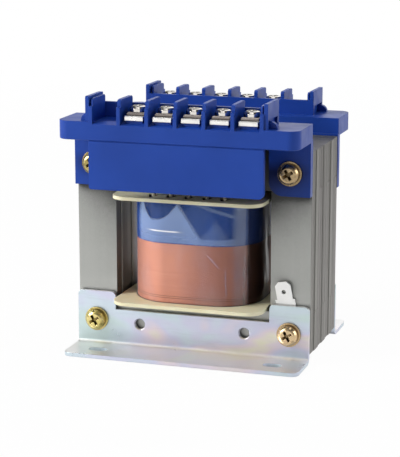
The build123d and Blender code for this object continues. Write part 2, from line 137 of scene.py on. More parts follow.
# %% [markdown]
# ## Helpers for finishes
# Each finish starts from the same few things: where the point is on the object, a noise that varies
# slowly or quickly, and a way to spread that noise over a range. Real moulded and stamped edges are never
# razor sharp, so the bevel node rounds them for the light, and gives the thin bright lines along edges.
# Dirt and shade gather where a surface is closed in, and the ambient occlusion node measures that. The
# finishes below use it mostly to paint shade there.


# %% A finish and its coordinates
def new_finish(name, **constants):
    """A material with its shader's own sockets set to constants."""
    material = bpy.data.materials.new(name)
    material.use_nodes = True
    shader = material.node_tree.nodes["Principled BSDF"]
    for key, value in constants.items():
        shader.inputs[key.replace("_", " ")].default_value = value
    return material, material.node_tree, shader


def place(tree, scale=(1, 1, 1), shift=(0, 0, 0)):
    """Object coordinates, stretched and shifted."""
    where = add(tree, "ShaderNodeTexCoord")
    mapping = add(tree, "ShaderNodeMapping", {"Vector": where.outputs["Object"], "Scale": scale,
                                              "Location": shift})
    return mapping.outputs["Vector"]


def part(tree, vector, axis):
    """One coordinate of a place or a direction."""
    return add(tree, "ShaderNodeSeparateXYZ", {"Vector": vector}).outputs[axis]


def facing(tree, axis):
    """How far the surface faces along an axis, from -1 to 1."""
    return part(tree, add(tree, "ShaderNodeNewGeometry").outputs["Normal"], axis)


print("ready: new_finish, place, part, facing")


# %% Noises and ranges
def cloud(tree, vector, scale, detail=2.0, rough=0.5, warp=0.0):
    """A soft noise from 0 to 1, with about as many waves in a metre as the scale says."""
    return add(tree, "ShaderNodeTexNoise", {"Vector": vector, "Scale": scale, "Detail": detail,
                                            "Roughness": rough, "Distortion": warp}).outputs["Fac"]


def spread(tree, value, low, high, to_low, to_high, kind="LINEAR"):
    """Carry one range of numbers over to another."""
    return add(tree, "ShaderNodeMapRange", {"Value": value, "From Min": low, "From Max": high,
                                            "To Min": to_low, "To Max": to_high},
               interpolation_type=kind).outputs["Result"]


def swing(tree, value, first, last):
    """Spread the middle of a noise, where nearly all of its values lie, over a range."""
    return spread(tree, value, 0.3, 0.7, first, last)


def along_axis(tree, axis, start, stop, first, last, kind="LINEAR"):
    """A number that goes from first to last between two places on an axis, given in millimetres."""
    return spread(tree, part(tree, place(tree), axis), start * MM, stop * MM, first, last, kind)


print("ready: cloud, spread, swing, along_axis")


# %% Colours and sums
def blend(tree, factor, first, second):
    """Mix two colours."""
    node = add(tree, "ShaderNodeMix", data_type="RGBA")
    for key, value in (("Factor_Float", factor), ("A_Color", first), ("B_Color", second)):
        socket = next(s for s in node.inputs if s.identifier == key)
        if isinstance(value, bpy.types.NodeSocket):
            tree.links.new(value, socket)
        else:
            socket.default_value = value
    return next(s for s in node.outputs if s.identifier == "Result_Color")


def ramp(tree, factor, stops):
    """A colour ramp from (place, colour) stops."""
    node = add(tree, "ShaderNodeValToRGB", {"Fac": factor})
    while len(node.color_ramp.elements) < len(stops):
        node.color_ramp.elements.new(0.5)
    for element, (spot, shade) in zip(node.color_ramp.elements, stops):
        element.position = spot
        element.color = shade
    return node.outputs["Color"]


def calc(tree, kind, first, second=0.0, clamp=False):
    """One sum on numbers."""
    return add(tree, "ShaderNodeMath", {0: first, 1: second}, operation=kind, use_clamp=clamp).outputs[0]


def product(tree, *factors):
    """Several numbers multiplied."""
    total = factors[0]
    for factor in factors[1:]:
        total = calc(tree, "MULTIPLY", total, factor)
    return total


print("ready: blend, ramp, calc, product")


# %% Relief and closed corners
def relief(tree, shader, height, depth, edge=0.0, strength=1.0):
    """A bump of a real depth in metres, over edges rounded for the light."""
    bump = add(tree, "ShaderNodeBump", {"Strength": strength, "Distance": depth, "Height": height})
    if edge:
        rounded = add(tree, "ShaderNodeBevel", {"Radius": edge}, samples=6)
        tree.links.new(rounded.outputs["Normal"], bump.inputs["Normal"])
    tree.links.new(bump.outputs["Normal"], shader.inputs["Normal"])


def closed_in(tree, reach, tight, free, most):
    """How far a point is closed in by its neighbours, from 0 in the open to the most in a corner."""
    seen = add(tree, "ShaderNodeAmbientOcclusion", {"Distance": reach}, samples=16).outputs["AO"]
    return spread(tree, seen, tight, free, most, 0.0)


print("ready: relief, closed_in")

# %% [markdown]
# ## Blue moulded nylon
# The two terminal blocks are injection moulded in a strong blue. The colour is even, but the gloss is
# not: it is broken by a fine grain from the mould and by slow waves where the plastic shrank. A noise in
# the roughness and a very shallow bump give both. A flat blue with one roughness would look like paint.
# The ears sit back under the bar, and their colour is painted darker there as painted shade. The occlusion
# node finds them, and a mask keeps that painted shade to the faces that look forward below the bar.

# %% The terminal blocks
moulded_blue, tree, shader = new_finish("moulded_blue", IOR=1.46, Specular_IOR_Level=0.27)
here = place(tree)
waves = cloud(tree, here, 38.0, 3.0)
grain = cloud(tree, here, 1400.0, 2.0)
tone = blend(tree, spread(tree, waves, 0.35, 0.65, 0.0, 1.0), colour(27, 64, 152), colour(32, 71, 165))
# painted shade: closed-in faces below the bar that look forward are darkened to a near black blue
to_front = spread(tree, facing(tree, "Y"), -0.95, -0.7, 1.0, 0.0)
under_bar = along_axis(tree, "Z", 76.0, 80.0, 1.0, 0.0)
painted_ear_shade = closed_in(tree, 25.0 * MM, tight=0.55, free=0.93, most=0.9)
tone = blend(tree, product(tree, painted_ear_shade, to_front, under_bar), tone, colour(8, 18, 60))
tree.links.new(tone, shader.inputs["Base Color"])
tree.links.new(swing(tree, cloud(tree, here, 160.0, 4.0), 0.3, 0.42), shader.inputs["Roughness"])
relief(tree, shader, grain, 0.006 * MM, edge=0.3 * MM, strength=0.4)
print("moulded_blue", len(tree.nodes), "nodes")

# %% [markdown]
# ## Lamination steel
# The core is a pack of thin silicon steel sheets. The broad face of a sheet is grey and satin, with faint
# rolling lines. From the side only the cut edges show, a fine stripe for each sheet, some darker and some
# lighter, and the edges are darker towards the top. The stripe follows the depth, so a noise that is
# squeezed along that one axis gives it. The outermost sheets get painted shade under the overhanging block.
# The occlusion node finds that place, but not near the brackets, where it would draw a dark rim.

# %% The core
lamination_steel, tree, shader = new_finish("lamination_steel", Metallic=0.8)
stripes = cloud(tree, place(tree, scale=(120.0, 3400.0, 6.0)), 1.0, 2.0, 0.7)
packs = cloud(tree, place(tree, scale=(8.0, 420.0, 5.0)), 1.0, 2.0)
rolling = cloud(tree, place(tree, scale=(420.0, 60.0, 9.0)), 1.0, 4.0, 0.6)
blotches = cloud(tree, place(tree), 55.0, 4.0, 0.6)

edge_tone = blend(tree, swing(tree, stripes, 0.0, 1.0), colour(120, 117, 112), colour(168, 166, 160))
edge_tone = blend(tree, spread(tree, packs, 0.4, 0.68, 0.0, 0.6), edge_tone, colour(136, 128, 130))
# the sheet edges get darker towards the top
darker_to_top = along_axis(tree, "Z", 30.0, 80.0, 0.0, 0.35)
edge_tone = blend(tree, darker_to_top, edge_tone, colour(84, 82, 80))
face_tone = blend(tree, swing(tree, rolling, 0.0, 1.0), colour(176, 177, 173), colour(180, 181, 177))
face_tone = blend(tree, spread(tree, blotches, 0.45, 0.75, 0.0, 0.25), face_tone, colour(164, 165, 160))
broad = spread(tree, calc(tree, "ABSOLUTE", facing(tree, "Y")), 0.4, 0.9, 0.0, 1.0)
tone = blend(tree, broad, edge_tone, face_tone)

depth = calc(tree, "ABSOLUTE", part(tree, place(tree), "Y"))
outermost = spread(tree, depth, 20.0 * MM, 20.4 * MM, 0.0, 1.0)
above_plate = along_axis(tree, "Z", 27.0, 42.0, 0.0, 1.0)
# painted shade: the outermost sheets under the overhanging block are darkened towards grey
overhang_shade = closed_in(tree, 40.0 * MM, tight=0.7, free=0.96, most=0.95)
tone = blend(tree, product(tree, overhang_shade, broad, outermost, above_plate), tone, colour(50, 50, 50))
tree.links.new(tone, shader.inputs["Base Color"])
tree.links.new(spread(tree, rolling, 0.2, 0.8, 0.36, 0.42), shader.inputs["Roughness"])
relief(tree, shader, blend(tree, broad, stripes, rolling), 0.006 * MM, strength=0.5)
print("lamination_steel", len(tree.nodes), "nodes")

# %% [markdown]
# ## Zinc plate with a clear passivation
# The foot brackets are zinc plated. The passivation on top is a film about as thick as a wave of light,
# so it shows soft clouds of pale blue, pink and straw yellow. A slow noise through a colour ramp paints
# those clouds on a bright metal, turned cooler towards both ends as a painted reflection. The tint stays
# weak, because a strong rainbow looks like oil. The upward faces of the foot are painted paler and nearly
# plain as painted light, and its slots get painted shade inside.

# %% The brackets
bright_zinc, tree, shader = new_finish("bright_zinc", Metallic=0.78)
clouds = cloud(tree, place(tree, scale=(0.8, 0.8, 1.7)), 34.0, 2.0, 0.55, 0.6)
# painted reflection: the tint turns cooler towards both ends of the bracket
from_middle = calc(tree, "ABSOLUTE", part(tree, place(tree), "X"))
clouds = calc(tree, "ADD", clouds, spread(tree, from_middle, 24.0 * MM, 40.0 * MM, 0.0, -0.06))
tint = ramp(tree, clouds, [(0.28, colour(208, 226, 226)), (0.4, colour(212, 224, 236)),
                           (0.48, colour(215, 216, 237)), (0.56, colour(231, 219, 228)),
                           (0.64, colour(236, 233, 212)), (0.76, colour(212, 227, 225))])
scuffs = cloud(tree, place(tree, scale=(60.0, 400.0, 400.0)), 1.0, 4.0, 0.7)
tint = blend(tree, spread(tree, scuffs, 0.55, 0.8, 0.0, 0.3), tint, colour(176, 184, 192))
# painted light: faces that look up are made paler and nearly untinted
lit_foot_faces = spread(tree, facing(tree, "Z"), 0.2, 0.6, 0.0, 0.7)
tint = blend(tree, lit_foot_faces, tint, colour(250, 245, 241))
# painted shade: slots and other closed-in places are darkened
slot_shade = closed_in(tree, 5.0 * MM, tight=0.3, free=0.55, most=0.7)
tint = blend(tree, slot_shade, tint, colour(84, 86, 90))
tree.links.new(tint, shader.inputs["Base Color"])
tree.links.new(swing(tree, cloud(tree, place(tree), 90.0, 4.0), 0.27, 0.38), shader.inputs["Roughness"])
relief(tree, shader, cloud(tree, place(tree), 60.0, 2.0), 0.03 * MM, edge=0.25 * MM, strength=0.3)
print("bright_zinc", len(tree.nodes), "nodes")

# %% [markdown]
# ## Yellow passivated bolts
# The through bolts and their washers are plated in the same bath but with a yellow passivation. It varies
# from straw to olive and pink on one head, and it is paler on the two bolts at the right. The upper two
# are painted darker, as painted shade for the dark surroundings they reflect. Grease sits in the cross
# recess, and painted shade is added there too, so the finish gets darker where a point is closed in.

# %% The bolts, their washers and nuts
yellow_zinc, tree, shader = new_finish("yellow_zinc", Metallic=1.0)
clouds = cloud(tree, place(tree), 420.0, 3.0, 0.6, 0.4)
gold = ramp(tree, clouds, [(0.3, colour(222, 198, 120)), (0.45, colour(232, 214, 150)),
                           (0.55, colour(214, 200, 118)), (0.68, colour(226, 190, 140))])
paler = along_axis(tree, "X", -10.0, 10.0, 0.0, 0.75)
gold = blend(tree, paler, gold, colour(232, 200, 166))
# painted shade: the upper bolts are darkened
upper_bolt_shade = along_axis(tree, "Z", 45.0, 55.0, 0.0, 0.5)
gold = blend(tree, upper_bolt_shade, gold, colour(120, 102, 66))
# grease and painted shade: closed-in places such as the cross recess are darkened
grease_and_shade = closed_in(tree, 2.4 * MM, tight=0.35, free=0.9, most=0.9)
gold = blend(tree, grease_and_shade, gold, colour(88, 70, 38))
tree.links.new(gold, shader.inputs["Base Color"])
tree.links.new(swing(tree, clouds, 0.18, 0.34), shader.inputs["Roughness"])
relief(tree, shader, cloud(tree, place(tree), 900.0, 3.0), 0.02 * MM, edge=0.2 * MM, strength=0.4)
print("yellow_zinc", len(tree.nodes), "nodes")

# %% [markdown]
# ## Nickel, tin and the small metal
# The terminal plates and screws are nickel plated and the brightest things on the object. Their clamps
# are smoother, and their tone is set darker as painted shade for the dark walls of the bay that they
# reflect, so they look dark beside the plates. The earth tab is tinned, which is whiter and softer. All
# are metals with little colour, so the difference is in the tone, in the roughness and in how far into the
# open the painted shade of the corners reaches.


# %% The terminals and the earth tab
def plated(name, metal, light, dark, roughness, reach, edge):
    """A bright plated metal with painted shade where it is closed in."""
    material, tree, shader = new_finish(name, Metallic=metal)
    clouds = cloud(tree, place(tree), 300.0, 4.0, 0.6)
    tone = blend(tree, swing(tree, clouds, 0.0, 0.35), light, dark)
    # painted shade: where the metal is closed in, it is darkened
    corner = closed_in(tree, reach, tight=0.3, free=0.85, most=0.85)
    tone = blend(tree, corner, tone, colour(46, 40, 36))
    tree.links.new(tone, shader.inputs["Base Color"])
    tree.links.new(swing(tree, clouds, *roughness), shader.inputs["Roughness"])
    relief(tree, shader, clouds, 0.01 * MM, edge=edge, strength=0.3)
    print(name, len(tree.nodes), "nodes")
    return material


bright_nickel = plated("bright_nickel", metal=0.85, light=colour(252, 250, 246), dark=colour(232, 228, 222),
                       roughness=(0.24, 0.34), reach=1.0 * MM, edge=0.3 * MM)
screw_nickel = plated("screw_nickel", metal=1.0, light=colour(214, 210, 204), dark=colour(140, 132, 126),
                      roughness=(0.08, 0.16), reach=3.2 * MM, edge=0.2 * MM)
# painted shade: the clamps' tone is set much darker than the plates', for the dark bay walls they reflect
shaded_clamp_nickel = plated("shaded_clamp_nickel", metal=1.0, light=colour(150, 142, 138), dark=colour(96, 86, 82),
                      roughness=(0.14, 0.2), reach=2.5 * MM, edge=0.2 * MM)
white_tin = plated("white_tin", metal=0.85, light=colour(250, 250, 248), dark=colour(234, 234, 232),
                   roughness=(0.36, 0.5), reach=1.0 * MM, edge=0.15 * MM)

# %% [markdown]
# ## Plastics and paper inside
# The bobbin is a cream nylon, waxy and a little translucent, so it gets some subsurface light. The leads
# have a pale sleeve, and the paper between the windings is plain kraft. One recipe with two tones, a
# roughness and a grain depth covers all three. All of them get painted shade deep inside, the sleeves
# from farther out, because they stand in the narrow notches of the flange.


# %% The bobbin, the lead sleeves and the paper
def soft_plastic(name, light, dark, roughness, grain_depth, reach, glow=0.0):
    """A dull plastic or paper with slow blotches and a fine grain."""
    material, tree, shader = new_finish(name, Subsurface_Weight=glow, Subsurface_Scale=0.6 * MM,
                                        Subsurface_Radius=(1.0, 0.8, 0.5))
    here = place(tree)
    blotches = cloud(tree, here, 70.0, 4.0, 0.6)
    grain = cloud(tree, here, 1500.0, 3.0)
    tone = blend(tree, spread(tree, blotches, 0.35, 0.7, 0.0, 1.0), light, dark)
    # painted shade: deep, closed-in places are darkened
    deep_in_shade = closed_in(tree, reach, tight=0.3, free=0.65, most=0.92)
    tone = blend(tree, deep_in_shade, tone, colour(38, 32, 22))
    tree.links.new(tone, shader.inputs["Base Color"])
    tree.links.new(swing(tree, grain, roughness - 0.06, roughness + 0.06), shader.inputs["Roughness"])
    relief(tree, shader, grain, grain_depth, edge=0.2 * MM, strength=0.5)
    print(name, len(tree.nodes), "nodes")
    return material


cream_nylon = soft_plastic("cream_nylon", colour(246, 241, 208), colour(238, 230, 190),
                           roughness=0.42, grain_depth=0.02 * MM, reach=2.2 * MM, glow=0.15)
pale_sleeve = soft_plastic("pale_sleeve", colour(214, 208, 186), colour(190, 182, 156),
                           roughness=0.6, grain_depth=0.03 * MM, reach=12.0 * MM)
winding_paper = soft_plastic("winding_paper", colour(206, 188, 148), colour(190, 170, 128),
                             roughness=0.8, grain_depth=0.05 * MM, reach=2.2 * MM)

# %% [markdown]
# ## Enamelled copper
# The winding shows through the film as a warm salmon band. Each turn has a coat of enamel, which is
# glossy, on a metal that is orange. A coat on a partly metallic base gives that double shine. The tone
# drifts from turn to turn, so a noise squeezed along Z tints whole turns together. Towards the right end
# it gets painted shade, and near the bottom two turns lie loose, with a line of painted shade in each gap.

# %% The copper windings
LOOSE_TURNS = (23.7 * MM, 24.4 * MM)
enamelled_copper, tree, shader = new_finish("enamelled_copper", Metallic=0.5, Coat_Weight=0.25,
                                            Coat_Roughness=0.45)
per_turn = cloud(tree, place(tree, scale=(4.0, 4.0, 1100.0)), 1.0, 2.0, 0.6)
drift = cloud(tree, place(tree), 60.0, 3.0)
tone = blend(tree, swing(tree, per_turn, 0.0, 1.0), colour(208, 138, 110), colour(215, 148, 118))
tone = blend(tree, spread(tree, drift, 0.4, 0.7, 0.0, 0.3), tone, colour(190, 120, 95))
# painted shade: the copper darkens towards the right end
right_end_shade = along_axis(tree, "X", -6.0, 9.0, 0.0, 0.6, "SMOOTHSTEP")
tone = blend(tree, right_end_shade, tone, colour(138, 84, 68))
height = part(tree, place(tree), "Z")
# painted shade: a dark line at the height of each loose turn's gap
for gap in LOOSE_TURNS:
    off_gap = calc(tree, "ABSOLUTE", calc(tree, "SUBTRACT", height, gap))
    gap_shade_line = spread(tree, off_gap, 0.08 * MM, 0.2 * MM, 0.55, 0.0)
    tone = blend(tree, gap_shade_line, tone, colour(96, 52, 36))
tree.links.new(tone, shader.inputs["Base Color"])
tree.links.new(swing(tree, drift, 0.48, 0.6), shader.inputs["Roughness"])
print("enamelled_copper", len(tree.nodes), "nodes")

# %% [markdown]
# ## The blue band and the clear film
# A blue polyester tape covers the upper half of the winding, and a clear film is wound over everything.
# The tape is even and only a little wavy, so two close blues and a soft noise are enough for it. Most of
# what the eye takes for the tape is the film on top, which gets its own recipe below.

# %% The blue band
blue_tape, tree, shader = new_finish("blue_tape", IOR=1.45, Specular_IOR_Level=0.3)
waves = cloud(tree, place(tree, scale=(1.0, 1.0, 0.35)), 95.0, 2.0)
tone = blend(tree, spread(tree, waves, 0.35, 0.65, 0.0, 1.0), colour(6, 50, 120), colour(12, 62, 140))
tree.links.new(tone, shader.inputs["Base Color"])
tree.links.new(swing(tree, waves, 0.22, 0.34), shader.inputs["Roughness"])
print("blue_tape", len(tree.nodes), "nodes")

# %% [markdown]
# ## Places on the film
# Where the film clings to the tape it looks wet and dark. Over the left of the tape a pale painted
# reflection is laid, along the creases run white painted highlights, and a pale haze, partly painted sheen,
# lies over the copper. Round the right corner a brushed band and a fold get painted highlights, and beyond
# the fold the film gets painted shade. Those places are laid out one by one in the plane of the front, as
# soft shapes made of half planes, one bowl and a few strokes. Each is a sum on the coordinates, so it
# needs no picture. A slow noise bends the straight lines, because film never creases along a ruler.


# %% Shapes on the film
def from_line(tree, x, z, first, second):
    """The offset of a point from the start of a line, with the line's direction and length in mm."""
    run, rise = second[0] - first[0], second[1] - first[1]
    length = math.hypot(run, rise)
    off_x = calc(tree, "SUBTRACT", x, first[0] * MM)
    off_z = calc(tree, "SUBTRACT", z, first[1] * MM)
    return off_x, off_z, run / length, rise / length, length


def weighed(tree, first, second, first_share, second_share):
    """Two numbers, each times its share, added."""
    return calc(tree, "ADD", calc(tree, "MULTIPLY", first, first_share),
                calc(tree, "MULTIPLY", second, second_share))


def beyond(tree, x, z, first, second, soft):
    """1 to the left of the line from the first point to the second, in millimetres, and 0 to its right."""
    off_x, off_z, cosine, sine = from_line(tree, x, z, first, second)[:4]
    to_left = weighed(tree, off_x, off_z, -sine, cosine)
    return spread(tree, to_left, -soft * MM, soft * MM, 0.0, 1.0, "SMOOTHSTEP")


def stroke(tree, x, z, first, second, width, fade):
    """A soft line from the first point to the second, in millimetres, which fades out at both ends."""
    off_x, off_z, cosine, sine, length = from_line(tree, x, z, first, second)
    off_line = calc(tree, "ABSOLUTE", weighed(tree, off_x, off_z, -sine, cosine))
    along = weighed(tree, off_x, off_z, cosine, sine)
    body = spread(tree, off_line, 0.15 * width * MM, width * MM, 1.0, 0.0, "SMOOTHSTEP")
    start = spread(tree, along, 0.0, fade * MM, 0.0, 1.0, "SMOOTHSTEP")
    stop = spread(tree, along, (length - fade) * MM, length * MM, 1.0, 0.0, "SMOOTHSTEP")
    return product(tree, body, start, stop)


print("ready: beyond, stroke")

# %% Where the clear film clings and where it stands off
TAPE_EDGE = 46.0
BOWL_X, BOWL_FLOOR, STEEP_LEFT, STEEP_RIGHT = -14.0, 54.9, 270.0, 75.0
clear_film, tree, shader = new_finish("clear_film", IOR=1.32, Roughness=0.1)
here = place(tree)
x, y, z = (part(tree, here, axis) for axis in "XYZ")
in_front = spread(tree, y, -24.0 * MM, -22.0 * MM, 1.0, 0.0)
ahead = spread(tree, y, -14.0 * MM, -11.0 * MM, 1.0, 0.0)
on_tape = spread(tree, z, (TAPE_EDGE - 0.2) * MM, (TAPE_EDGE + 0.2) * MM, 0.0, 1.0)
wobble = spread(tree, cloud(tree, here, 90.0, 3.0), 0.0, 1.0, -1.5 * MM, 1.5 * MM)
wave_x = calc(tree, "ADD", x, wobble)
wave_z = calc(tree, "SUBTRACT", z, wobble)

# painted reflection: a pale field on the tape, bounded by lines and a bowl, with a hill and a low strip
left_field = beyond(tree, wave_x, wave_z, (7.2, 46.0), (-4.6, 62.2), 1.2)
from_bowl = calc(tree, "SUBTRACT", wave_x, BOWL_X * MM)
left_rise = calc(tree, "POWER", calc(tree, "MINIMUM", from_bowl, 0.0), 2.0)
right_rise = calc(tree, "POWER", calc(tree, "MAXIMUM", from_bowl, 0.0), 2.0)
bowl = calc(tree, "ADD", weighed(tree, left_rise, right_rise, STEEP_LEFT, STEEP_RIGHT), BOWL_FLOOR * MM)
over_bowl = calc(tree, "SUBTRACT", wave_z, bowl)
under_bowl = spread(tree, over_bowl, -0.6 * MM, 0.6 * MM, 1.0, 0.0, "SMOOTHSTEP")
pale_reflection_field = product(tree, left_field, under_bowl, on_tape)
pale_reflection_hill = product(tree, beyond(tree, wave_x, wave_z, (9.6, 54.6), (4.8, 48.0), 1.5),
               beyond(tree, wave_x, wave_z, (16.8, 48.0), (12.0, 54.6), 1.5), on_tape)
pale_reflection_strip = product(tree, beyond(tree, wave_x, wave_z, (30.0, 48.4), (-30.0, 48.4), 0.4), on_tape)
print("fields", len(tree.nodes), "nodes")

# %% Painted highlights on creases, haze and side fold, and painted shade beyond the fold
# painted highlights: white lines along the creases of the film
crease_highlight_streak = stroke(tree, x, z, (-18.6, 50.7), (-0.6, 50.5), 0.55, 5.0)
top_fold_highlight = stroke(tree, x, z, (1.5, 62.6), (22.5, 56.2), 1.1, 4.0)
copper_crease_highlight = stroke(tree, x, z, (7.0, 43.5), (13.5, 36.5), 0.5, 2.5)
thin_fold_highlight = stroke(tree, x, z, (15.6, 24.0), (15.2, 38.0), 0.35, 4.0)
# haze and painted sheen: a pale veil, weaker on the tape and pinkish over the copper
veil = cloud(tree, place(tree, scale=(1.0, 1.0, 0.4), shift=(0.02, 0.0, 0.03)), 80.0, 3.0)
haze_and_sheen = product(tree, spread(tree, veil, 0.45, 0.75, 0.0, 1.0), spread(tree, on_tape, 0.0, 1.0, 1.0, 0.4))

# painted highlights: a bright fold and a brushed band round the right corner
fold_x = calc(tree, "ADD", x, calc(tree, "MULTIPLY", wobble, 0.3))
flecks = cloud(tree, place(tree, scale=(1.0, 1.0, 0.5)), 420.0, 3.0)
side_fold_highlight = product(tree, stroke(tree, fold_x, z, (21.6, 20.0), (21.6, 66.0), 1.0, 1.0),
                    spread(tree, flecks, 0.35, 0.6, 0.45, 1.0), ahead)
brushed_highlight = product(tree, stroke(tree, wave_x, z, (20.6, 16.0), (20.6, 68.0), 3.6, 6.0), ahead,
                  spread(tree, fold_x, 21.6 * MM, 22.6 * MM, 1.0, 0.0),
                  spread(tree, on_tape, 0.0, 1.0, 0.5, 1.0))
# painted shade: past the right fold the film turns dark
beyond_fold_shade = product(tree, spread(tree, fold_x, 22.0 * MM, 23.0 * MM, 0.0, 1.0),
                spread(tree, y, -4.0 * MM, 0.0, 1.0, 0.0))
print("fields and lines", len(tree.nodes), "nodes")

# %% [markdown]
# ## One film from many places
# Each place makes the film a little more opaque, and at every point the strongest one wins, so that two
# places that overlap don't add up to a blot. The film also gets denser where it is seen at a low angle,
# as clear film does. The tone follows the same places: white for the painted highlights, pale for the
# painted reflection and haze, and dark for the painted shade beyond the fold.

# %% How strong each place is, and its tone
alpha = product(tree, pale_reflection_field, spread(tree, z, 47.0 * MM, 58.0 * MM, 0.3, 0.5))
for shape, strength in ((pale_reflection_strip, 0.26), (pale_reflection_hill, 0.1), (crease_highlight_streak, 0.85), (top_fold_highlight, 0.17),
                        (copper_crease_highlight, 0.12), (thin_fold_highlight, 0.14), (haze_and_sheen, 0.1)):
    alpha = calc(tree, "MAXIMUM", alpha, product(tree, shape, strength))
alpha = product(tree, alpha, in_front)
for shape, strength in ((brushed_highlight, 0.25), (side_fold_highlight, 0.3), (beyond_fold_shade, 0.4)):
    alpha = calc(tree, "MAXIMUM", alpha, product(tree, shape, strength))
grazing = add(tree, "ShaderNodeLayerWeight", {"Blend": 0.5}).outputs["Facing"]
grazing = spread(tree, calc(tree, "POWER", grazing, 5.0), 0.0, 1.0, 0.02, 0.1)
tree.links.new(calc(tree, "ADD", alpha, grazing, clamp=True), shader.inputs["Alpha"])

# the tone follows the painted highlights, the painted reflection and haze, and the painted shade
tone = blend(tree, crease_highlight_streak, colour(172, 198, 246), colour(255, 255, 255))
off_tape = calc(tree, "SUBTRACT", 1.0, on_tape)
tone = blend(tree, product(tree, haze_and_sheen, off_tape), tone, colour(250, 224, 212))
fold_highlight_tone = blend(tree, on_tape, colour(222, 214, 218), colour(190, 206, 244))
tone = blend(tree, calc(tree, "MAXIMUM", brushed_highlight, side_fold_highlight), tone, fold_highlight_tone)
beyond_fold_shade_tone = blend(tree, on_tape, colour(34, 28, 28), colour(46, 58, 100))
tone = blend(tree, beyond_fold_shade, tone, beyond_fold_shade_tone)
tree.links.new(tone, shader.inputs["Base Color"])
print("clear_film", len(tree.nodes), "nodes")

# %% [markdown]
# ## Give every node its finish
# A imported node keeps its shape, and only the material in its slots changes. Front and rear pieces are
# alike, so one short table from the start of the rest of a name to a finish covers all.

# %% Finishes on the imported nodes
FINISHES = [("core_", lamination_steel), ("bobbin", cream_nylon), ("primary_winding", enamelled_copper),
            ("secondary_winding", enamelled_copper), ("interlayer_paper", winding_paper),
            ("insulation_band", blue_tape), ("film_wrap", clear_film), ("terminal_block", moulded_blue),
            ("terminal_screws", screw_nickel), ("terminal_", bright_nickel), ("clamp", shaded_clamp_nickel),
            ("leads", pale_sleeve), ("bracket", bright_zinc), ("earth_tab", white_tin), ("", yellow_zinc)]
dressed = {}
for name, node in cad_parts.items():
    rest = name.removeprefix("front_").removeprefix("rear_")
    finish = next(material for start, material in FINISHES if rest.startswith(start))
    if not node.data.materials:
        node.data.materials.append(finish)
    for index in range(len(node.data.materials)):
        node.data.materials[index] = finish
    dressed[finish.name] = dressed.get(finish.name, 0) + 1
print(dressed)

# %% [markdown]
# ## Helpers for geometry trees
# Sheet edges, turns of wire and screw threads repeat many times by a simple rule. Geometry Nodes are made
# for that: a tree takes a few named sizes and grows the whole set. The result is then turned into a plain
# mesh, so that nothing later depends on a live modifier.


# %% Helpers for geometry trees
def new_tree(name, sockets):
    """An empty geometry tree with named inputs. Gives the tree, its input node and the sockets' ids."""
    group = bpy.data.node_groups.new(name, "GeometryNodeTree")
    ids = {}
    for label, kind in sockets:
        socket = group.interface.new_socket(label, in_out="INPUT", socket_type="NodeSocket" + kind)
        ids[label] = socket.identifier
    group.interface.new_socket("Geometry", in_out="OUTPUT", socket_type="NodeSocketGeometry")
    return group, group.nodes.new("NodeGroupInput"), ids


def close_tree(group, source, geometry, smooth):
    """Make the copies real, shade them, give them their material and end the tree."""
    real = add(group, "GeometryNodeRealizeInstances", {"Geometry": geometry})
    shaded = add(group, "GeometryNodeSetShadeSmooth", {"Geometry": out(real), "Shade Smooth": smooth})
    painted = add(group, "GeometryNodeSetMaterial", {"Geometry": out(shaded),
                                                     "Material": source.outputs["Material"]})
    end = group.nodes.new("NodeGroupOutput")
    group.links.new(out(painted), end.inputs[0])
    print(group.name, len(group.nodes), "nodes")


def plain_piece(name, vertices, faces, smooth, material):
    """One object at the origin with its place in its mesh."""
    mesh = bpy.data.meshes.new(name)
    mesh.from_pydata(vertices, [], faces)
    mesh.polygons.foreach_set("use_smooth", smooth)
    mesh.materials.append(material)
    mesh.update()
    piece = bpy.data.objects.new(name, mesh)
    bpy.context.scene.collection.objects.link(piece)
    print(name, "faces", len(mesh.polygons))
    return piece


def grow(name, group, ids, rows, points=()):
    """Run the tree once for each row of sizes and join the results in one plain mesh."""
    carriers = []
    for row in rows:
        mesh = bpy.data.meshes.new(name + "_start")
        mesh.from_pydata([tuple(point) for point in points], [], [])
        carrier = bpy.data.objects.new(name + "_carrier", mesh)
        bpy.context.scene.collection.objects.link(carrier)
        modifier = carrier.modifiers.new(name, "NODES")
        modifier.node_group = group
        for label, value in row.items():
            modifier[ids[label]] = value
        carriers.append(carrier)
    bpy.context.view_layer.update()
    graph = bpy.context.evaluated_depsgraph_get()
    vertices, faces, smooth = [], [], []
    for carrier in carriers:
        mesh = bpy.data.meshes.new_from_object(carrier.evaluated_get(graph))
        first = len(vertices)
        vertices.extend(tuple(v.co) for v in mesh.vertices)
        faces.extend([first + i for i in p.vertices] for p in mesh.polygons)
        smooth.extend(p.use_smooth for p in mesh.polygons)
        carrier.modifiers.clear()
        bpy.data.objects.remove(carrier)
    return plain_piece(name, vertices, faces, smooth, rows[0]["Material"])

# %% [markdown]
# ## The edges of the sheets
# Seen from the side, a real core is never flat: each sheet of half a millimetre stands a few hundredths
# in or out, and that gives the streaks down the side. The tree sets a row of thin bars, one for each
# sheet, and pushes every bar by its own small amount with a fixed seed. It is run once for each packet,
# so the joint between an E and an I stays open where the solids have it.

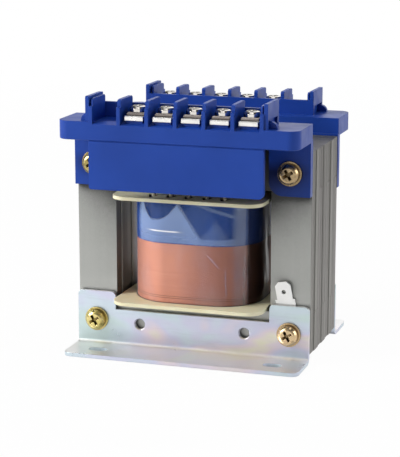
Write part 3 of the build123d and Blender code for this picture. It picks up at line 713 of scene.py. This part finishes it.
# %% A tree for a row of sheet edges
sheet_row, source, ids = new_tree("sheet_row", [
    ("First", "Vector"), ("Step", "Vector"), ("Count", "Int"), ("Bar", "Vector"), ("Push", "Vector"),
    ("Seed", "Int"), ("Material", "Material")])
line = add(sheet_row, "GeometryNodeMeshLine", {"Count": source.outputs["Count"],
                                               "Start Location": source.outputs["First"],
                                               "Offset": source.outputs["Step"]}, mode="OFFSET")
bar = add(sheet_row, "GeometryNodeMeshCube", {"Size": source.outputs["Bar"]})
bars = add(sheet_row, "GeometryNodeInstanceOnPoints", {"Points": out(line), "Instance": out(bar, "Mesh")})
amount = add(sheet_row, "FunctionNodeRandomValue", {"Seed": source.outputs["Seed"]}, data_type="FLOAT")
pushed = add(sheet_row, "ShaderNodeVectorMath", {0: source.outputs["Push"], "Scale": out(amount)},
             operation="SCALE")
moved = add(sheet_row, "GeometryNodeTranslateInstances", {"Instances": out(bars),
                                                          "Translation": out(pushed)})
close_tree(sheet_row, source, out(moved), False)

# %% Sheet edges on the sides, the top and the underside
SHEETS_IN_PACKET = 12
EDGE_GAP = 0.08 * MM
EDGE_ROOT = 0.3 * MM
EDGE_RISE = 0.01 * MM
EDGE_PUSH = 0.11 * MM
END_MARGIN = 0.15 * MM
TOP_FROM = cad_box[1][2] * 0.79
UNDERSIDE_TO = 5.0 * MM
rows = []
for name in sorted(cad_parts):
    if not name.startswith("core_"):
        continue
    low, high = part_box(name)
    pitch = (high.y - low.y) / SHEETS_IN_PACKET
    middle = (low + high) / 2
    size = high - low
    seed = sum(ord(letter) * (place_in + 3) for place_in, letter in enumerate(name))
    common = {"Step": (0.0, pitch, 0.0), "Count": SHEETS_IN_PACKET, "Material": lamination_steel}
    sunk = EDGE_ROOT / 2 - EDGE_RISE
    for side, x in ((-1, low.x), (1, high.x)):
        rows.append({"First": (x - side * sunk, low.y + pitch / 2, middle.z),
                     "Bar": (EDGE_ROOT, pitch - EDGE_GAP, size.z - END_MARGIN),
                     "Push": (side * EDGE_PUSH, 0.0, 0.0), "Seed": seed + side, **common})
    ends = [(1, high.z)] if high.z > TOP_FROM else []
    if low.z < UNDERSIDE_TO:
        ends.append((-1, low.z))
    for side, z in ends:
        rows.append({"First": (middle.x, low.y + pitch / 2, z - side * sunk),
                     "Bar": (size.x - END_MARGIN, pitch - EDGE_GAP, EDGE_ROOT),
                     "Push": (0.0, 0.0, side * EDGE_PUSH), "Seed": seed + 7 * side, **common})
sheet_edges = grow("sheet_edges", sheet_row, ids, rows)
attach(sheet_edges, "root")

# %% [markdown]
# ## Turns of wire
# The outer layer of the winding is one wire laid turn beside turn. The pitch is so small that each turn
# can be a closed ring. The tree makes one rounded rectangle, copies it up the bobbin on a line of points,
# and sweeps a small round section along every copy.

# %% A tree for a layer of turns
CORNER_POINTS = 12
turn_layer, source, ids = new_tree("turn_layer", [
    ("Length", "Float"), ("Depth", "Float"), ("Corner", "Float"), ("Wire", "Float"), ("Round", "Float"),
    ("Bottom", "Float"), ("Turns", "Int"), ("Material", "Material")])
outline = add(turn_layer, "GeometryNodeCurvePrimitiveQuadrilateral", {"Width": source.outputs["Length"],
                                                                      "Height": source.outputs["Depth"]})
rounded = add(turn_layer, "GeometryNodeFilletCurve", {0: out(outline), 1: CORNER_POINTS,
                                                      2: source.outputs["Corner"]}, mode="POLY")
start = add(turn_layer, "ShaderNodeCombineXYZ", {"Z": source.outputs["Bottom"]})
rise = add(turn_layer, "ShaderNodeCombineXYZ", {"Z": source.outputs["Wire"]})
line = add(turn_layer, "GeometryNodeMeshLine", {"Count": source.outputs["Turns"],
                                                "Start Location": out(start),
                                                "Offset": out(rise)}, mode="OFFSET")
copies = add(turn_layer, "GeometryNodeInstanceOnPoints", {"Points": out(line), "Instance": out(rounded)})
real = add(turn_layer, "GeometryNodeRealizeInstances", {"Geometry": out(copies)})
section = add(turn_layer, "GeometryNodeCurvePrimitiveCircle", {"Resolution": 8,
                                                               "Radius": source.outputs["Round"]})
swept = add(turn_layer, "GeometryNodeCurveToMesh", {"Curve": out(real), "Profile Curve": out(section)})
close_tree(turn_layer, source, out(swept), True)

# %% The outer layer of the winding
WIRE = 0.32 * MM
WIRE_ROUND = 0.4 * MM
WIRE_SET_IN = 0.2 * MM
WINDING_CORNER = 16.6 * MM
low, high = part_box("secondary_winding")
turns = int((high.z - low.z - 2 * WIRE_ROUND) / WIRE) + 1
wire_turns = grow("wire_turns", turn_layer, ids, [{
    "Length": (high.x - low.x) - 2 * WIRE_SET_IN, "Depth": (high.y - low.y) - 2 * WIRE_SET_IN,
    "Corner": WINDING_CORNER - WIRE_SET_IN, "Wire": WIRE, "Round": WIRE_ROUND, "Turns": turns,
    "Bottom": low.z + WIRE_ROUND, "Material": enamelled_copper}])
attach(wire_turns, "root")
print("turns", turns)

# %% [markdown]
# ## The wrinkles of the film
# The film is wound tight round the corners, but on the flat front it stands off in soft folds. A smooth
# sleeve would reflect the room like a mirror, and the real one breaks it up. The mesh starts from the
# outline of the wound coil, and every point moves out by a smooth noise that is longer upwards than
# sideways. The push fades at the corners and at both ends, where the film is held.


# %% The way round a wound coil
def outline_point(share, half_x, half_y, corner):
    """A point, its outward direction and its flatness, at a share of the way round a rounded rectangle."""
    straight_x, straight_y = 2 * (half_x - corner), 2 * (half_y - corner)
    arc = math.pi * corner / 2
    way = (share % 1.0) * (2 * straight_x + 2 * straight_y + 4 * arc)
    corners = [((1, -1), -90.0, straight_x), ((1, 1), 0.0, straight_y), ((-1, 1), 90.0, straight_x),
               ((-1, -1), 180.0, straight_y)]
    for (side_x, side_y), first_angle, run in corners:
        centre = Vector((side_x * (half_x - corner), side_y * (half_y - corner), 0.0))
        first_turn = math.radians(first_angle)
        normal = Vector((math.cos(first_turn), math.sin(first_turn), 0.0))
        along = Vector((-normal.y, normal.x, 0.0))
        if way < run:
            return centre + normal * corner - along * (run - way), normal, 1.0
        way -= run
        if way < arc:
            angle = first_turn + way / corner
            normal = Vector((math.cos(angle), math.sin(angle), 0.0))
            return centre + normal * corner, normal, abs(math.cos(2 * (angle - first_turn)))
        way -= arc
    return outline_point(0.0, half_x, half_y, corner)


print("first point", outline_point(0.0, 30.0, 20.0, 5.0)[0])

# %% A wrinkled sleeve of film
FILM_CORNER = 16.9 * MM
FILM_SHEET = 0.1 * MM
FOLD = 1.0 * MM
AROUND, UP = 200, 40
WRINKLES = Vector((85.0, 85.0, 46.0))
FINER = 2.3
END_HOLD, HOLD_RISE = 0.1, 5.0
CORNER_SHARE = 0.25
low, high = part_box("film_wrap")
vertices, faces = [], []
for row in range(UP + 1):
    height = row / UP
    hold = min(1.0, HOLD_RISE * min(height, 1.0 - height) + END_HOLD)
    for step in range(AROUND):
        spot, normal, flatness = outline_point(step / AROUND, high.x, high.y, FILM_CORNER)
        spot.z = low.z + (high.z - low.z) * height
        sample = spot * WRINKLES
        fine = noise.noise(sample * FINER + Vector((7.0, 3.0, 1.0)))
        push = 0.5 + 0.5 * noise.noise(sample) + 0.25 * fine
        push = max(0.0, push) * hold * (CORNER_SHARE + (1.0 - CORNER_SHARE) * flatness)
        vertices.append(tuple(spot + normal * FOLD * push))
for row in range(UP):
    for step in range(AROUND):
        one, two = row * AROUND + step, row * AROUND + (step + 1) % AROUND
        faces.append((one, two, two + AROUND, one + AROUND))
film_sleeve = plain_piece("film_sleeve", vertices, faces, [True] * len(faces), clear_film)
wall = film_sleeve.modifiers.new("wall", "SOLIDIFY")
wall.thickness = FILM_SHEET
wall.offset = -1.0
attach(film_sleeve, "root")
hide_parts("film_wrap")

# %% [markdown]
# ## Screw threads behind the nuts
# From behind, the ends of the four through bolts show their threads. A thread is a spiral, which is one
# node in a geometry tree, with a small section swept along it. The tree sets one spiral on each point of
# its start mesh, and the points are the ends of the bolts.

# %% A tree for a thread
thread_tree, source, ids = new_tree("bolt_thread", [
    ("Geometry", "Geometry"), ("Radius", "Float"), ("Pitch", "Float"), ("Rounds", "Float"),
    ("Material", "Material")])
climb = add(thread_tree, "ShaderNodeMath", {0: source.outputs["Pitch"], 1: source.outputs["Rounds"]},
            operation="MULTIPLY")
spiral = add(thread_tree, "GeometryNodeCurveSpiral", {
    "Resolution": 20, "Rotations": source.outputs["Rounds"], "Start Radius": source.outputs["Radius"],
    "End Radius": source.outputs["Radius"], "Height": out(climb)})
ridge = add(thread_tree, "ShaderNodeMath", {0: source.outputs["Pitch"], 1: 0.3}, operation="MULTIPLY")
section = add(thread_tree, "GeometryNodeCurvePrimitiveCircle", {"Resolution": 4, "Radius": out(ridge)})
swept = add(thread_tree, "GeometryNodeCurveToMesh", {"Curve": out(spiral), "Profile Curve": out(section),
                                                     "Fill Caps": True})
laid = add(thread_tree, "GeometryNodeTransform", {"Geometry": out(swept),
                                                  "Rotation": (-math.pi / 2, 0.0, 0.0)})
threads = add(thread_tree, "GeometryNodeInstanceOnPoints", {"Points": source.outputs["Geometry"],
                                                            "Instance": out(laid)})
close_tree(thread_tree, source, out(threads), False)

# %% Threads on the four bolt ends
BOLT_RADIUS = 2.0 * MM
THREAD_SINK = 0.03 * MM
THREAD_PITCH = 0.7 * MM
THREAD_ROUNDS = 2.3
BOLT_TIP = 0.25 * MM
ends = []
for name in ("upper_bolts", "lower_bolts"):
    low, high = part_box(name)
    bolt_z = (low.z + high.z) / 2
    for side in (-1, 1):
        bolt_x = side * (high.x - (high.z - low.z) / 2)
        ends.append((bolt_x, high.y - BOLT_TIP - THREAD_PITCH * THREAD_ROUNDS, bolt_z))
bolt_threads = grow("bolt_threads", thread_tree, ids, [{
    "Radius": BOLT_RADIUS - THREAD_SINK, "Pitch": THREAD_PITCH, "Rounds": THREAD_ROUNDS,
    "Material": yellow_zinc}], points=ends)
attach(bolt_threads, "root")

# %% [markdown]
# ## The floor and the air
# The photograph has a white ground without an edge. The floor is a pale plane that keeps a soft shadow,
# and most of its white comes from the colour that the camera sees, not from more light. Only right under
# the object does it stay a plain floor. What the metal reflects is chosen apart from that. In front there
# is bright paper close to the object, then a dark band, and farther out a bright card, which the rounded
# lips of the terminals catch. Behind the object it is even. That is partly why the steel gets darker
# towards the top, beside the painted shade under the block, and why the blue stays deep.


# %% The floor
def ray(tree, *kinds):
    """1 for rays of these kinds and 0 for all others."""
    path = add(tree, "ShaderNodeLightPath")
    total = path.outputs["Is " + kinds[0] + " Ray"]
    for kind in kinds[1:]:
        total = calc(tree, "MAXIMUM", total, path.outputs["Is " + kind + " Ray"])
    return total


FLOOR_HALF, FLOOR_LEVEL = 4.0, -0.05 * MM
corners = [(x * FLOOR_HALF, y * FLOOR_HALF, FLOOR_LEVEL) for x, y in ((-1, -1), (1, -1), (1, 1), (-1, 1))]
floor_mesh = bpy.data.meshes.new("floor")
floor_mesh.from_pydata(corners, [], [(0, 1, 2, 3)])
floor = bpy.data.objects.new("floor", floor_mesh)
bpy.context.scene.collection.objects.link(floor)
pale_floor, tree, shader = new_finish("pale_floor", Roughness=0.9)
shader.inputs["Base Color"].default_value = colour(238, 238, 238)
floor_mesh.materials.append(pale_floor)
print("floor", 2 * FLOOR_HALF, "m wide")

# %% What a mirror sees of the floor
WHITE = (1.0, 1.0, 1.0, 1.0)
PAPER_NEAR, PAPER_FAR, CARD_FROM, CARD_TO = 0.2, 0.31, 0.41, 0.44
NEAR_LIGHT, FAR_LIGHT, BACK_LIGHT = 1.4, 0.3, 0.9
SHADE_FROM, SHADE_TO, SHADE_RIGHT = -0.18, 0.04, 0.6
BEHIND_FROM, BEHIND_TO = -0.06, 0.06
where = place(tree)
away = add(tree, "ShaderNodeVectorMath", {0: where}, operation="LENGTH").outputs["Value"]
paper = spread(tree, away, PAPER_NEAR, PAPER_FAR, NEAR_LIGHT, FAR_LIGHT, "SMOOTHSTEP")
shade = spread(tree, part(tree, where, "X"), SHADE_FROM, SHADE_TO, 1.0, SHADE_RIGHT, "SMOOTHSTEP")
card = spread(tree, away, CARD_FROM, CARD_TO, 0.0, NEAR_LIGHT, "SMOOTHSTEP")
paper = calc(tree, "MAXIMUM", product(tree, paper, shade), card)
behind = spread(tree, part(tree, where, "Y"), BEHIND_FROM, BEHIND_TO, 0.0, 1.0, "SMOOTHSTEP")
paper = add(tree, "ShaderNodeMix", {"Factor": behind, "A": paper, "B": BACK_LIGHT},
            data_type="FLOAT").outputs[0]
mirrored = add(tree, "ShaderNodeEmission", {"Color": WHITE, "Strength": paper})
first = add(tree, "ShaderNodeMixShader", {"Fac": ray(tree, "Glossy")})
tree.links.new(shader.outputs[0], first.inputs[1])
tree.links.new(mirrored.outputs[0], first.inputs[2])
print("paper", NEAR_LIGHT, "to", FAR_LIGHT)

# %% What the camera sees of the floor
FLOOR_GLOW, FULL_GLOW, GLOW_FROM, GLOW_TO = 0.97, 1.0, 0.3, 0.9
UNDER_FROM, UNDER_TO = 39.0 * MM, 41.0 * MM
to_side = calc(tree, "ABSOLUTE", part(tree, where, "X"))
to_depth = calc(tree, "ABSOLUTE", part(tree, where, "Y"))
outside = spread(tree, calc(tree, "MAXIMUM", to_side, to_depth), UNDER_FROM, UNDER_TO, 0.0, 1.0)
white = product(tree, outside, spread(tree, away, GLOW_FROM, GLOW_TO, FLOOR_GLOW, FULL_GLOW))
glow = add(tree, "ShaderNodeEmission", {"Color": WHITE, "Strength": 1.0})
seen_white = product(tree, ray(tree, "Camera", "Transmission"), white)
second = add(tree, "ShaderNodeMixShader", {"Fac": seen_white})
tree.links.new(first.outputs[0], second.inputs[1])
tree.links.new(glow.outputs[0], second.inputs[2])
tree.links.new(second.outputs[0], tree.nodes["Material Output"].inputs["Surface"])
print("pale_floor", len(tree.nodes), "nodes")

# %% [markdown]
# ## The air
# The world is split in the same way. The camera sees white, so that the ground has no edge. A mirror sees
# a room that is fairly bright near the horizon and dark overhead, and everything else gets only a weak
# even light, because the lamps do the work.

# %% The air
AIR_LIGHT = 0.1
ROOM, HORIZON, HORIZON_TO, ROOM_FROM = 0.08, 0.42, 0.22, 0.6
world = bpy.data.worlds.new("studio_air")
world.use_nodes = True
tree = world.node_tree
air = tree.nodes["Background"]
air.inputs["Color"].default_value = WHITE
upwards = part(tree, add(tree, "ShaderNodeTexCoord").outputs["Generated"], "Z")
in_mirrors = ray(tree, "Glossy")
mirrored = spread(tree, upwards, HORIZON_TO, ROOM_FROM, HORIZON, ROOM, "SMOOTHSTEP")
direct = ray(tree, "Camera", "Transmission")
spare = calc(tree, "SUBTRACT", 1.0, calc(tree, "MAXIMUM", direct, in_mirrors))
strength = calc(tree, "ADD", product(tree, mirrored, in_mirrors), direct)
strength = calc(tree, "ADD", strength, product(tree, spare, AIR_LIGHT))
tree.links.new(strength, air.inputs["Strength"])
bpy.context.scene.world = world
print("air light", AIR_LIGHT)

# %% [markdown]
# ## The lamps
# Soft light from large panels fits a catalogue picture: the key from the left in front and rather low,
# weaker ones from the right and from behind, and one above. Their powers add up, with the air, to about
# the level at which a colour renders as it is written.

# %% Four soft panels
AIM = Vector((0.0, 0.0, 0.05))


def panel(name, spot, size, power):
    """A square lamp that looks at the middle of the object."""
    lamp = bpy.data.lights.new(name, "AREA")
    lamp.shape = "SQUARE"
    lamp.size = size
    lamp.energy = power
    holder = bpy.data.objects.new(name, lamp)
    holder.location = spot
    holder.rotation_euler = (AIM - Vector(spot)).to_track_quat("-Z", "Y").to_euler()
    bpy.context.scene.collection.objects.link(holder)
    print(name, power, "watts")


panel("key_panel", spot=(-0.8, -0.55, 0.5), size=0.6, power=10.7)
panel("side_panel", spot=(1.4, 0.45, 0.6), size=0.9, power=10.0)
panel("back_panel", spot=(-0.1, 1.4, 1.0), size=1.2, power=6.5)
panel("top_panel", spot=(0.0, -0.35, 1.65), size=1.2, power=7.0)
bpy.context.scene.view_settings.view_transform = "Standard"
